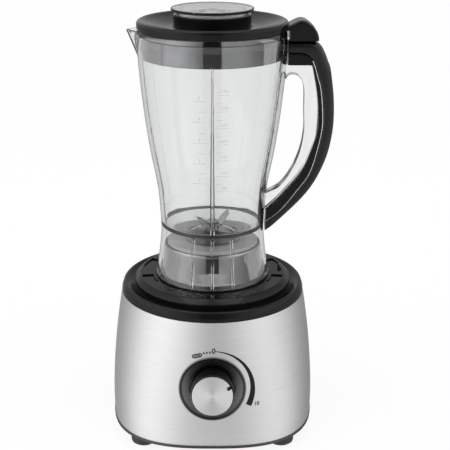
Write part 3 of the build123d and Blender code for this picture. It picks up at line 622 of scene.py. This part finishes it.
def jug_turns():
    """Turns about the axis, closer together where a rib or the spout needs it."""
    turns = {round(step * 2.0, 2) for step in range(-90, 90)}
    for centre in INNER_RIB_TURNS:
        turns |= {round(centre + step * 0.3, 2) for step in range(-13, 14)}
    for centre in SKIRT_RIB_TURNS:
        turns |= {round(centre + step * 0.3, 2) for step in range(-8, 9)}
    turns |= {round(SPOUT_TURN + step * 0.75, 2) for step in range(-40, 41)}
    return sorted({round((turn + 180) % 360 - 180, 2) for turn in turns})


def outer_radius(turn, z, radius, inset):
    """Outside of the wall or rim, less an inset."""
    return spout(turn, z, radius) - inset


def inner_radius(turn, z, radius):
    """Inside of the wall, with ribs that fade out under the rim and widen downwards."""
    fade = min(1.0, max(0.0, (INNER_RIB_TOP - z) / 5))
    half_width = 1.0 + 1.3 * (370 - z) / 160
    ribs = rib(turn, radius - WALL, INNER_RIB_TURNS, half_width, INNER_RIB_DEPTH)
    return spout(turn, z, radius) - WALL - fade * ribs


def round_radius(turn, reach):
    """Radius of a ring that is the same at every turn."""
    return reach


def skirt_radius(turn, z, radius):
    """Inside of the skirt below the floor, with ribs that fade out at the foot."""
    fade = min(1.0, (z - FOOT) / 3)
    ribs = rib(turn, radius - WALL, SKIRT_RIB_TURNS, SKIRT_RIB_HALF_WIDTH, SKIRT_RIB_DEPTH)
    return radius - WALL - fade * ribs


def jug_rings():
    """Rings round the jug's section, from the foot up and back, as (height, radii by turn)."""
    steps, skirt_steps = 40, 14
    outer = [FOOT + 0.5 + (RIM - FOOT - 1.2) * step / steps for step in range(steps + 1)]
    inner = [RIM - 0.7 - (RIM - 0.7 - FLOOR_TOP) * step / steps for step in range(steps + 1)]
    skirt = [SKIRT_TOP - (SKIRT_TOP - FOOT - 0.5) * step / skirt_steps
             for step in range(skirt_steps + 1)]
    top, foot = wall_radius(RIM), wall_radius(FOOT)
    rings = [(z, outer_radius, (z, wall_radius(z), 0.0)) for z in outer]
    for drop, inset in ((0.15, 0.25), (0.0, 0.8), (0.0, WALL - 0.8), (0.15, WALL - 0.25)):
        rings.append((RIM - drop, outer_radius, (RIM, top, inset)))
    rings += [(z, inner_radius, (z, wall_radius(z))) for z in inner]
    rings += [(z, round_radius, (reach,)) for reach, z in FLOOR_SECTION]
    rings += [(z, skirt_radius, (z, wall_radius(z))) for z in skirt]
    rings += [(FOOT, round_radius, (foot - WALL + 0.5,)), (FOOT, round_radius, (foot - 0.5,))]
    turns = jug_turns()
    return turns, [(z, [radius_at(turn, *given) for turn in turns])
                   for z, radius_at, given in rings]


# Outlines of the clear web that joins the jug to the grip, in mm, as (X, Z).
WEB_GRIP_SIDE = [(93.0, 363.0), (97.8, 338.0), (99.5, 319.0), (98.4, 295.5), (94.4, 279.0),
                 (84.6, 259.0), (66.9, 237.0), (51.9, 221.5)]
WEB_FINGER_SIDE = [(68.6, 349.6), (72.5, 353.2), (80.5, 352.0), (85.8, 342.0), (86.6, 319.4),
                   (87.0, 299.5), (83.6, 280.0), (76.4, 262.0), (65.0, 245.6), (53.0, 238.2)]
WEB_WALL_SIDE = [(49.4, 221.5), (49.6, 237.6)]
WEB_TOP = [(67.2, 349.6), (67.4, 363.0)]
WEB_WIDTH = 14.0
WEB_ROUNDING = 1.6 * MM


def make_web():
    """Clear web of the handle, as a rounded bar with the finger opening beside the jug."""
    outline = smooth_path(WEB_GRIP_SIDE) + [Vector(point) for point in WEB_WALL_SIDE]
    outline += list(reversed(smooth_path(WEB_FINGER_SIDE))) + [Vector(point) for point in WEB_TOP]
    form = bmesh.new()
    corners = [form.verts.new((x * MM, -WEB_WIDTH / 2 * MM, z * MM)) for x, z in outline]
    cap = form.faces.new(corners)
    pushed = bmesh.ops.extrude_face_region(form, geom=[cap])
    moved = [item for item in pushed["geom"] if isinstance(item, bmesh.types.BMVert)]
    bmesh.ops.translate(form, verts=moved, vec=(0, WEB_WIDTH * MM, 0))
    rims = [edge for edge in form.edges if abs(edge.verts[0].co.y - edge.verts[1].co.y) < 1e-7]
    bmesh.ops.bevel(form, geom=rims, offset=WEB_ROUNDING, segments=3, affect="EDGES", profile=0.5)
    bmesh.ops.recalc_face_normals(form, faces=form.faces)
    form.verts.index_update()
    points = [tuple(vertex.co) for vertex in form.verts]
    faces = [tuple(vertex.index for vertex in face.verts) for face in form.faces]
    form.free()
    mesh_piece("clear_web", points, faces, WEB_PLASTIC, "jug", "clear_plastic")


def sheen_band(name, outline, body):
    """Thin glossy band over a dark skirt, from (radius, height) points on its outside."""
    section = outline + [(reach - 0.1, z) for reach, z in reversed(outline)]
    lathe(name, section, 180, SHEEN, body, "gloss_black")


def make_jug():
    """Clear jug: wall, beak, four inner ribs, sloping floor and skirt, with the handle's web."""
    turns, rings = jug_rings()
    points = []
    for z, radii in rings:
        for turn, reach in zip(turns, radii):
            right, back = reach * cos(radians(turn)), reach * sin(radians(turn))
            points.append((right * MM, back * MM, z * MM))
    shell = mesh_piece("clear_jug", points, grid_faces(len(rings), len(turns)),
                       MATERIALS["clear_plastic"], "jug", "clear_plastic", sharp=42)
    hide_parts("jug_body")
    make_web()


def on_jug(right, up, above):
    """Point on the jug's front wall, lifted off it."""
    place, _, _, _ = JUG_SHAPE.ray_cast(Vector((right, -0.2, up)), Vector((0, 1, 0)))
    return place + Vector((0, -above, 0))


def level_numbers(column, rows, middle):
    """Numbers of one column of the level scale, each a little above its mark."""
    for z, amount in rows:
        digits(f"{column}_{amount}", str(amount), 3.0 * MM,
               lambda x, y, above, z=z: on_jug(middle * MM + x, (z + 3.4) * MM + y, above),
               SCALE_MARK, "jug", "clear_plastic")


def make_scale():
    """Two faint columns of level marks with numbers, beside the front rib."""
    points, faces = [], []
    # Heights in mm with their numbers, then the marks as (left, right, height); the short marks
    # between them have no numbers.
    levels = [(254 + 15.6 * step, 250 * (step + 1)) for step in range(7)]
    cups = [(262 + 20.0 * step, step + 1) for step in range(5)]
    bars = [(4.0, 15.5, z) for z, _ in levels] + [(4.0, 9.5, z + 7.8) for z, _ in levels[:-1]]
    bars += [(-17.5, -6.5, z) for z, _ in cups] + [(-12.0, -6.5, z + 10) for z, _ in cups[:-1]]
    for start, end, z in bars:
        across = [start + (end - start) * step / 6 for step in range(7)]
        more_points, more_faces = band([(x, z) for x in across], [(x, z + 0.55) for x in across],
                                       on_jug, (0.02 * MM, 0.2 * MM), len(points))
        points += more_points
        faces += more_faces
    mesh_piece("level_marks", points, faces, SCALE_MARK, "jug", "clear_plastic")
    level_numbers("level", levels, 10.0)
    level_numbers("cup", cups, -12.0)


# ---- cap -----------------------------------------------------------------------------------
def make_cap():
    """Inverted cup with a thin flange; a black ring on its rim is painted shade for the dark outline of the clear
    flange's edge.
    """
    section = rounded([(0.4, 411.7), (28.6, 411.7), (28.6, 383.2), (31.4, 383.2), (31.4, 412.5),
                       (38.0, 412.7), (38.0, 415.0), (35.6, 415.0), (34.8, 414.3), (0.4, 414.2)],
                      0.4, 3)
    cup = lathe("cap_cup", section, 144, FROSTED, "cap", "clear_plastic")
    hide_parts("filler_cap")
    # Black ring round the flange's edge: painted shade standing in for the dark outline that the clear edge shows,
    # not a black part of the cap.
    rim = rounded([(36.9, 412.6), (38.5, 412.8), (38.5, 415.0), (37.9, 415.2), (36.9, 415.2)],
                  0.25, 3)
    lathe("cap_rim_painted_shade", rim, 144, MATERIALS["gloss_black"], "cap", "clear_plastic")


# ---- interlock spring ----------------------------------------------------------------------
def make_pin_spring():
    """Spring under the interlock pin, as a piece of its own copied from the CAD node."""
    node = NODES["interlock_spring"]
    points = [tuple(node.matrix_world @ vertex.co) for vertex in node.data.vertices]
    faces = [tuple(face.vertices) for face in node.data.polygons]
    steel = MATERIALS["screw_steel"]
    spring = mesh_piece("pin_spring", points, faces, steel, "base", "screw_steel")
    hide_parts("interlock_spring")
    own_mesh(spring)


# ---- handle --------------------------------------------------------------------------------
# Matching points of the grip's outer edge, its parting line and its inner edge, as (X, Z) in mm.
GRIP_OUTER = [(70.3, 385.2), (78.5, 385.4), (87.0, 385.4), (95.0, 384.6), (100.9, 380.6),
              (104.8, 374.2), (108.4, 365.2), (111.1, 356.9), (114.9, 328.2), (114.7, 298.9),
              (108.1, 269.1), (92.1, 238.7), (62.3, 207.7), (51.4, 198.6)]
GRIP_PARTING = [(70.3, 374.6), (77.0, 374.5), (83.0, 374.0), (89.0, 371.9), (93.2, 367.4),
                (95.6, 361.2), (98.6, 350.8), (101.6, 340.0), (103.9, 317.5), (103.1, 297.5),
                (94.4, 262.0), (81.9, 242.0), (65.4, 221.0), (51.8, 210.4)]
GRIP_INNER = [(70.3, 363.2), (75.0, 363.1), (80.0, 363.1), (85.0, 363.1), (90.0, 363.1),
              (92.9, 362.2), (94.4, 356.0), (97.6, 339.0), (99.6, 318.0), (98.5, 296.0),
              (86.4, 261.8), (76.0, 247.6), (62.0, 231.6), (52.0, 221.4)]


def grip_part(name, low_side, high_side, section, half_width, slot, *nodes):
    """Bar between two matching edges of the grip; section is (share outwards, share across).
    Its material is that of its slot, and it stands for the CAD nodes given, if any."""
    lows, highs = smooth_path(low_side), smooth_path(high_side)
    points = []
    for low, high in zip(lows, highs):
        for out, across in section:
            x, z = low + (high - low) * out
            points.append((x * MM, across * half_width * MM, z * MM))
    count = len(section)
    faces = grid_faces(len(lows), count, close_rows=False)
    faces += end_faces(count, len(points))
    piece = mesh_piece(name, points, faces, MATERIALS[slot], "jug", slot, sharp=40)
    if nodes:
        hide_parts(*nodes)


def make_handle():
    """Grip with a crowned cover, a flat-sided liner and, along their joint, a light grey strip that is a painted
    highlight of the edge.
    """
    crown = rounded([(0.015, -0.97), (0.40, -1.0), (0.82, -0.93), (1.0, -0.42), (1.0, 0.42),
                     (0.82, 0.93), (0.40, 1.0), (0.015, 0.97)], 0.28, 5)
    inner_bar = rounded([(0.0, -0.96), (0.97, -0.96), (0.97, 0.96), (0.0, 0.96)], 0.10, 3)
    grip_part("grip_cover", GRIP_PARTING, GRIP_OUTER, crown, 11.5, "satin_black",
              "handle_cover")
    grip_part("grip_liner", GRIP_INNER, GRIP_PARTING, inner_bar, 11.3, "gloss_black",
              "handle_liner")
    # Light grey strip along the joint: a painted highlight standing in for the shine on the cover's edge, not a
    # grey part.
    highlight_low = [(x - 0.30, z - 0.12) for x, z in GRIP_PARTING[4:]]
    highlight_high = [(x + 0.25, z + 0.10) for x, z in GRIP_PARTING[4:]]
    grip_part("grip_painted_highlight", highlight_low, highlight_high, inner_bar, 11.55, "grey_rubber")


# ---- stage ---------------------------------------------------------------------------------
def make_camera():
    """Camera in front of the knob, looking down a little."""
    data = bpy.data.cameras.new("camera")
    data.lens = 86
    data.sensor_width = 36
    data.shift_x = 0.028
    camera = bpy.data.objects.new("camera", data)
    camera.location = (0, -1.0, 0.5566)
    camera.rotation_euler = (radians(70.5), 0, 0)
    bpy.context.scene.collection.objects.link(camera)
    bpy.context.scene.camera = camera


def level_sheet(name, left, right, near, far, height):
    """Flat level rectangle of the stage, in metres."""
    mesh = bpy.data.meshes.new(name)
    corners = [(left, near, height), (right, near, height), (right, far, height),
               (left, far, height)]
    mesh.from_pydata(corners, [], [(0, 1, 2, 3)])
    sheet = bpy.data.objects.new(name, mesh)
    bpy.context.scene.collection.objects.link(sheet)
    return sheet, mesh


def make_floor():
    """Pale floor that glows a little, so that it stays even and white."""
    reach = 40.0
    floor, mesh = level_sheet("floor", -reach, reach, -reach, reach, 0)
    material, _, shader = new_material("white_floor")
    shader.inputs["Base Color"].default_value = (0.08, 0.08, 0.08, 1)
    shader.inputs["Roughness"].default_value = 0.9
    shader.inputs["Specular IOR Level"].default_value = 0.0
    shader.inputs["Emission Color"].default_value = (1, 1, 1, 1)
    shader.inputs["Emission Strength"].default_value = 0.90
    mesh.materials.append(material)
    floor.visible_glossy = False


def make_front_card():
    """Card on the floor that only shows in what is seen through the clear jug."""
    reach = 2.4
    card, mesh = level_sheet("front_card", -reach, reach, -reach, -0.13, 0.002)
    material = bpy.data.materials.new("front_card")
    material.use_nodes = True
    tree = material.node_tree
    tree.nodes.clear()
    glow = tree.nodes.new("ShaderNodeEmission")
    output = tree.nodes.new("ShaderNodeOutputMaterial")
    place = tree.nodes.new("ShaderNodeTexCoord")
    split = tree.nodes.new("ShaderNodeSeparateXYZ")
    tree.links.new(place.outputs["Object"], split.inputs["Vector"])
    ahead = math_node(tree, "MULTIPLY", split.outputs["Y"], -1)
    turn = math_node(tree, "DIVIDE", math_node(tree, "ARCTAN2", split.outputs["X"], ahead), pi)
    shifted = math_node(tree, "ADD", turn, 0.5)
    bands = side_ramp(tree, shifted, [(0.0, 0.35), (1.0, 0.12), (0.08, 1.0), (0.22, 0.9),
                                      (0.34, 0.5), (0.418, 0.24), (0.424, 0.0), (0.576, 0.0),
                                      (0.582, 0.62), (0.74, 0.6), (0.88, 0.3)])
    tree.links.new(bands, glow.inputs["Color"])
    glow.inputs["Strength"].default_value = 1.25
    tree.links.new(glow.outputs["Emission"], output.inputs["Surface"])
    mesh.materials.append(material)
    card.visible_camera = False
    card.visible_glossy = False
    card.visible_diffuse = False
    card.visible_shadow = False


def softbox(name, place, size, power):
    """Area light that points at the middle of the object and isn't seen itself."""
    data = bpy.data.lights.new(name, "AREA")
    data.shape = "RECTANGLE"
    data.size, data.size_y = size
    data.energy = power
    light = bpy.data.objects.new(name, data)
    light.location = place
    aim = Vector((0, 0, 0.2)) - Vector(place)
    light.rotation_euler = aim.to_track_quat("-Z", "Y").to_euler()
    light.visible_camera = False
    bpy.context.scene.collection.objects.link(light)


def side_ramp(tree, value, stops):
    """Brightness over a value of 0 to 1, by (value, brightness) stops, the two ends first."""
    node = tree.nodes.new("ShaderNodeValToRGB")
    ramp = node.color_ramp
    for index, (position, level) in enumerate(stops):
        stop = ramp.elements[index] if index < 2 else ramp.elements.new(position)
        stop.position = position
        stop.color = (level, level, level, 1)
    tree.links.new(value, node.inputs["Fac"])
    return node.outputs["Color"]


def math_node(tree, operation, first, second):
    """Math node whose two inputs are numbers or other nodes' outputs."""
    node = tree.nodes.new("ShaderNodeMath")
    node.operation = operation
    for socket, value in zip(node.inputs, (first, second)):
        if isinstance(value, (int, float)):
            socket.default_value = value
        else:
            tree.links.new(value, socket)
    return node.outputs["Value"]


def make_world():
    """Studio: bright to both sides of the front with a dark gap between, dim low down behind."""
    world = bpy.data.worlds.new("studio")
    bpy.context.scene.world = world
    world.use_nodes = True
    tree = world.node_tree
    background = tree.nodes["Background"]
    place = tree.nodes.new("ShaderNodeTexCoord")
    split = tree.nodes.new("ShaderNodeSeparateXYZ")
    tree.links.new(place.outputs["Generated"], split.inputs["Vector"])
    sideways = math_node(tree, "ABSOLUTE", split.outputs["X"], 0)
    ahead = math_node(tree, "MULTIPLY", split.outputs["Y"], -1)
    # 0 is straight ahead of the front and 1 straight behind.
    turn = math_node(tree, "DIVIDE", math_node(tree, "ARCTAN2", sideways, ahead), pi)
    low = side_ramp(tree, turn, [(0.0, 0.42), (1.0, 0.14), (0.076, 0.42), (0.088, 0.56),
                                 (0.20, 0.72), (0.33, 0.82), (0.45, 0.70), (0.60, 0.34),
                                 (0.75, 0.18)])
    high = side_ramp(tree, turn, [(0.0, 0.08), (1.0, 0.30), (0.08, 0.10), (0.10, 0.32),
                                  (0.33, 1.0), (0.5, 0.85), (0.75, 0.36)])
    height = tree.nodes.new("ShaderNodeMapRange")
    height.inputs["From Min"].default_value = -0.02
    height.inputs["From Max"].default_value = 0.12
    tree.links.new(split.outputs["Z"], height.inputs["Value"])
    side = tree.nodes.new("ShaderNodeMapRange")
    side.inputs["From Min"].default_value = -0.3
    side.inputs["From Max"].default_value = 0.3
    side.inputs["To Min"].default_value = 1.0
    side.inputs["To Max"].default_value = 0.8
    tree.links.new(split.outputs["X"], side.inputs["Value"])
    mix = tree.nodes.new("ShaderNodeMix")
    mix.data_type = "RGBA"
    tree.links.new(height.outputs["Result"], mix.inputs["Factor"])
    tree.links.new(low, mix.inputs["A"])
    tree.links.new(high, mix.inputs["B"])
    tree.links.new(mix.outputs["Result"], background.inputs["Color"])
    tree.links.new(math_node(tree, "MULTIPLY", side.outputs["Result"], 2.2),
                   background.inputs["Strength"])


def make_stage():
    """Camera, floor, card, world and one soft light from above."""
    make_camera()
    make_floor()
    make_front_card()
    make_world()
    softbox("softbox_top", (0, -0.3, 1.8), (1.6, 1.6), 9)
    bpy.context.scene.view_settings.view_transform = "Standard"


# ---- build ---------------------------------------------------------------------------------
EDGE_WIDTH = 0.45 * MM
dress_cad_nodes()
soften_edges(["top_cover", "base_housing", "knob_body", "knob_face", "lid_body", "blade_holder",
              "driven_coupling", "drive_coupling", "blade_nut", "filler_cap",
              "foot_front_left", "foot_front_right", "foot_rear_left", "foot_rear_right"],
             EDGE_WIDTH)
make_bezel()
make_dial()
make_dial_number()
make_pointer()
make_jug()
sheen_band("lid_skirt_gloss", [(66.38, 371.0), (66.38, 389.6)], "lid")
sheen_band("lid_neck_gloss", [(66.38, 390.4), (66.38, 395.4)], "lid")
holder_line = [(max(47.65, wall_radius(z) - 4.8), z) for z in range(158, 187, 2)]
sheen_band("holder_gloss", holder_line + [(46.9, 187.6)], "jug")
make_scale()
make_cap()
make_pin_spring()
make_handle()
make_stage()
